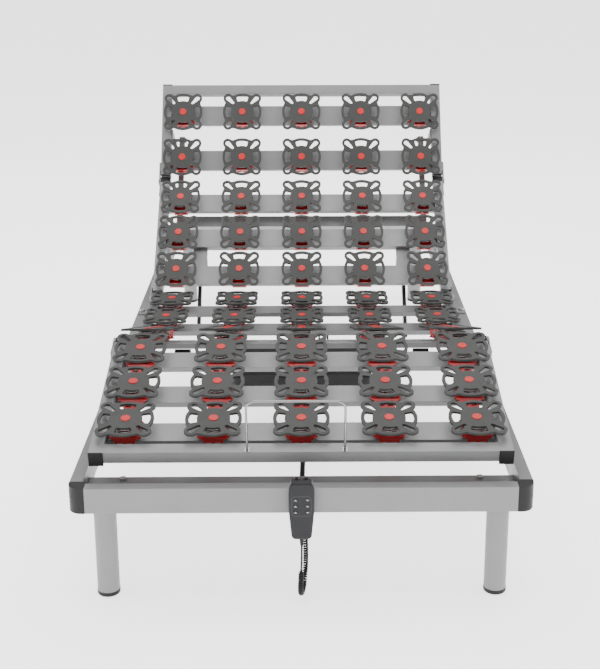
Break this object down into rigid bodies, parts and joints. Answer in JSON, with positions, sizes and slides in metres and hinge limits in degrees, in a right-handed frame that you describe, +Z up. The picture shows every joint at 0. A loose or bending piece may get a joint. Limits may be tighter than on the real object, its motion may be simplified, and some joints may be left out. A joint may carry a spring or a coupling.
{
  "type": "adjustable bed base",
  "caption": "Adjustable slatted bed base on round legs, with hinged back, head, thigh and leg sections, spring discs, a twin drive and a corded handset.",
  "frame": {"origin": "middle of the overall footprint, on the floor", "axes": "+Z up, +Y along the bed from the foot end towards the head end, +X across the bed"},
  "size_m": [0.901, 2.0268, 0.8035],
  "materials": {
    "grey_steel": "satin grey powder coat",
    "black_plastic": "matte black",
    "disc_grey": "matte dark grey",
    "button_red": "semi-gloss red",
    "clip_red": "translucent deep red",
    "spring_steel": "bright steel wire",
    "zinc_steel": "zinc plated",
    "dark_steel": "satin black",
    "bright_wire": "bright chrome",
    "drive_black": "matte black",
    "handset_black": "fine matte black",
    "key_black": "soft black",
    "cord_black": "satin black"
  },
  "bodies": {
    "base": {"outer_side_rails": "grey_steel", "outer_end_rails": "grey_steel", "corner_caps": "black_plastic", "crossbeams": "grey_steel", "legs": "grey_steel", "leg_feet": "black_plastic", "frame_bolts": "zinc_steel", "seat_frame": "grey_steel", "seat_rail_plugs": "black_plastic", "seat_hinge_pins": "zinc_steel", "seat_disc_clips": "clip_red", "seat_disc_springs": "spring_steel", "drive_housing": "drive_black", "drive_lid": "drive_black", "drive_spindles": "zinc_steel", "handset_front": "handset_black", "handset_rear": "handset_black", "cord_fittings": "cord_black", "cord_straight": "cord_black", "cord_curly": "cord_black"},
    "thigh": {"thigh_frame": "grey_steel", "thigh_rail_plugs": "black_plastic", "thigh_hinge_pins": "zinc_steel", "thigh_disc_clips": "clip_red", "thigh_disc_springs": "spring_steel"},
    "leg": {"leg_frame": "grey_steel", "leg_rail_plugs": "black_plastic", "leg_disc_clips": "clip_red", "leg_disc_springs": "spring_steel", "mattress_retainer": "bright_wire"},
    "back": {"back_frame": "grey_steel", "back_rail_plugs": "black_plastic", "back_hinge_pins": "zinc_steel", "back_disc_clips": "clip_red", "back_disc_springs": "spring_steel"},
    "head": {"head_frame": "grey_steel", "head_rail_plugs": "black_plastic", "head_disc_clips": "clip_red", "head_disc_springs": "spring_steel"},
    "head_lift_bow": {"head_lift_bow": "grey_steel"},
    "leg_lift_shaft": {"leg_lift_shaft": "dark_steel"},
    "back_lift_shaft": {"back_lift_shaft": "dark_steel"},
    "leg_drive_nut": {"leg_drive_nut": "drive_black"},
    "back_drive_nut": {"back_drive_nut": "drive_black"},
    "seat_discs": {"seat_disc_plates": "disc_grey", "seat_disc_buttons": "button_red"},
    "thigh_discs": {"thigh_disc_plates": "disc_grey", "thigh_disc_buttons": "button_red"},
    "leg_discs": {"leg_disc_plates": "disc_grey", "leg_disc_buttons": "button_red"},
    "back_discs": {"back_disc_plates": "disc_grey", "back_disc_buttons": "button_red"},
    "head_discs": {"head_disc_plates": "disc_grey", "head_disc_buttons": "button_red"},
    "key_back_up": {"key_back_up": "key_black"},
    "key_back_down": {"key_back_down": "key_black"},
    "key_legs_up": {"key_legs_up": "key_black"},
    "key_legs_down": {"key_legs_down": "key_black"},
    "key_all_up": {"key_all_up": "key_black"},
    "key_all_down": {"key_all_down": "key_black"}
  },
  "joints": [
    {"name": "back_lift", "type": "hinge", "parent": "base", "child": "back", "pos_m": [0, 0.1474, 0.2685], "axis": [1, 0, 0], "range_deg": [-41, 14]},
    {"name": "head_tilt", "type": "hinge", "parent": "back", "child": "head", "pos_m": [0, 0.45351, 0.5346], "axis": [1, 0, 0], "range_deg": [-19.1, 6.6]},
    {"name": "bow_swing", "type": "hinge", "parent": "head", "child": "head_lift_bow", "pos_m": [0, 0.56412, 0.63817], "axis": [1, 0, 0], "range_deg": [-2.9, 8.3]},
    {"name": "thigh_lift", "type": "hinge", "parent": "base", "child": "thigh", "pos_m": [0, -0.1846, 0.2685], "axis": [-1, 0, 0], "range_deg": [-18.05, 17.3]},
    {"name": "leg_fold", "type": "hinge", "parent": "thigh", "child": "leg", "pos_m": [0, -0.52042, 0.37794], "axis": [1, 0, 0], "range_deg": [-30.9, 29.6]},
    {"name": "leg_shaft_turn", "type": "hinge", "parent": "base", "child": "leg_lift_shaft", "pos_m": [0, -0.1071, 0.172], "axis": [-1, 0, 0], "range_deg": [-9.7, 9.3]},
    {"name": "back_shaft_turn", "type": "hinge", "parent": "base", "child": "back_lift_shaft", "pos_m": [0, 0.1474, 0.172], "axis": [1, 0, 0], "range_deg": [-32.4, 11.2]},
    {"name": "leg_nut_travel", "type": "slide", "parent": "base", "child": "leg_drive_nut", "axis": [0, 1, 0], "range_m": [-0.0078, 0.0081]},
    {"name": "back_nut_travel", "type": "slide", "parent": "base", "child": "back_drive_nut", "axis": [0, 1, 0], "range_m": [-0.0262, 0.0092]},
    {"name": "seat_disc_press", "type": "slide", "parent": "base", "child": "seat_discs", "axis": [0, 0, -1], "range_m": [0, 0.009], "stiffness_N_per_m": 6000, "springref_m": -0.004, "deforming": ["seat_disc_springs"]},
    {"name": "thigh_disc_press", "type": "slide", "parent": "thigh", "child": "thigh_discs", "axis": [0, -0.3098, -0.9508], "range_m": [0, 0.009], "stiffness_N_per_m": 6000, "springref_m": -0.004, "deforming": ["thigh_disc_springs"]},
    {"name": "leg_disc_press", "type": "slide", "parent": "leg", "child": "leg_discs", "axis": [0, 0.2198, -0.9755], "range_m": [0, 0.009], "stiffness_N_per_m": 6000, "springref_m": -0.004, "deforming": ["leg_disc_springs"]},
    {"name": "back_disc_press", "type": "slide", "parent": "back", "child": "back_discs", "axis": [0, 0.6561, -0.7547], "range_m": [0, 0.009], "stiffness_N_per_m": 6000, "springref_m": -0.004, "deforming": ["back_disc_springs"]},
    {"name": "head_disc_press", "type": "slide", "parent": "head", "child": "head_discs", "axis": [0, 0.866, -0.5], "range_m": [0, 0.009], "stiffness_N_per_m": 6000, "springref_m": -0.004, "deforming": ["head_disc_springs"]},
    {"name": "key_back_up_press", "type": "slide", "parent": "base", "child": "key_back_up", "axis": [0, 1, 0], "range_m": [0, 0.0008], "stiffness_N_per_m": 400, "springref_m": -0.0005},
    {"name": "key_back_down_press", "type": "slide", "parent": "base", "child": "key_back_down", "axis": [0, 1, 0], "range_m": [0, 0.0008], "stiffness_N_per_m": 400, "springref_m": -0.0005},
    {"name": "key_legs_up_press", "type": "slide", "parent": "base", "child": "key_legs_up", "axis": [0, 1, 0], "range_m": [0, 0.0008], "stiffness_N_per_m": 400, "springref_m": -0.0005},
    {"name": "key_legs_down_press", "type": "slide", "parent": "base", "child": "key_legs_down", "axis": [0, 1, 0], "range_m": [0, 0.0008], "stiffness_N_per_m": 400, "springref_m": -0.0005},
    {"name": "key_all_up_press", "type": "slide", "parent": "base", "child": "key_all_up", "axis": [0, 1, 0], "range_m": [0, 0.0008], "stiffness_N_per_m": 400, "springref_m": -0.0005},
    {"name": "key_all_down_press", "type": "slide", "parent": "base", "child": "key_all_down", "axis": [0, 1, 0], "range_m": [0, 0.0008], "stiffness_N_per_m": 400, "springref_m": -0.0005}
  ],
  "couplings": [
    {"joint": "head_tilt", "follows": "back_lift", "ratio": 0.46341},
    {"joint": "bow_swing", "follows": "back_lift", "ratio": -0.1985},
    {"joint": "back_shaft_turn", "follows": "back_lift", "ratio": 0.7875},
    {"joint": "back_nut_travel", "follows": "back_lift", "m_per_rad": 0.0362},
    {"joint": "leg_fold", "follows": "thigh_lift", "ratio": 1.7036},
    {"joint": "leg_shaft_turn", "follows": "thigh_lift", "ratio": 0.5275},
    {"joint": "leg_nut_travel", "follows": "thigh_lift", "m_per_rad": -0.0248}
  ]
}
